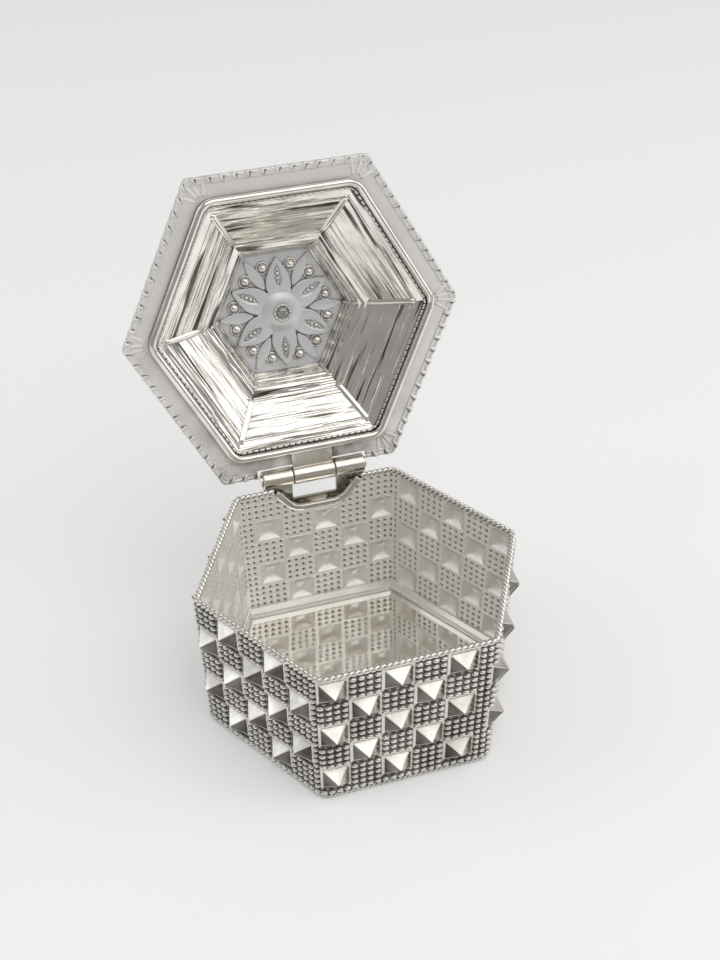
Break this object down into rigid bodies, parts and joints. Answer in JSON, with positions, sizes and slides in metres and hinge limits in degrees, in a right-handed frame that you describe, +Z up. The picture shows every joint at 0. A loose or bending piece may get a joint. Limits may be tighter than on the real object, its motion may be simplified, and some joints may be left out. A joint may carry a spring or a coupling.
{
  "type": "sindoor box",
  "caption": "Small hexagonal silver-coloured sindoor box with studded walls, rope-wire rims and a hinged stepped lid, standing open.",
  "frame": {"origin": "on the surface the box stands on, under the middle of the hexagonal floor", "axes": "+Z up, X along the hinge, +Y towards the hinge at the back, -Y towards the front"},
  "size_m": [0.0532, 0.0653, 0.0706],
  "materials": {
    "wall_silver": "embossed silver, bright on the studs, dark in the pits",
    "wire_silver": "twisted silver wire",
    "polished_silver": "polished silver sheet",
    "matte_silver": "matte white silver sheet",
    "hinge_silver": "worn silver",
    "clear_stone": "clear faceted stone"
  },
  "bodies": {
    "box": {"embossed_wall": "wall_silver", "top_rim_wire": "wire_silver", "base_rim_wire": "wire_silver", "floor_plate": "polished_silver", "floor_band": "polished_silver", "hinge_body_leaf": "hinge_silver", "hinge_knuckle_left": "hinge_silver", "hinge_knuckle_right": "hinge_silver", "hinge_pin": "hinge_silver"},
    "lid": {"hinge_knuckle_lid": "hinge_silver", "hinge_lid_leaf": "hinge_silver", "lid_flange": "matte_silver", "lid_crimped_edge": "matte_silver", "lid_collar": "polished_silver", "lid_seam_wire": "wire_silver", "lid_dome": "polished_silver", "lid_plaque": "matte_silver", "rosette_flower": "matte_silver", "rosette_sepals": "matte_silver", "rosette_granules": "polished_silver", "stone_collet": "hinge_silver", "middle_stone": "clear_stone"}
  },
  "joints": [
    {"name": "lid_hinge", "type": "hinge", "parent": "box", "child": "lid", "pos_m": [0.0004, 0.02438, 0.02393], "axis": [1, 0, 0], "range_deg": [0, 105]}
  ]
}
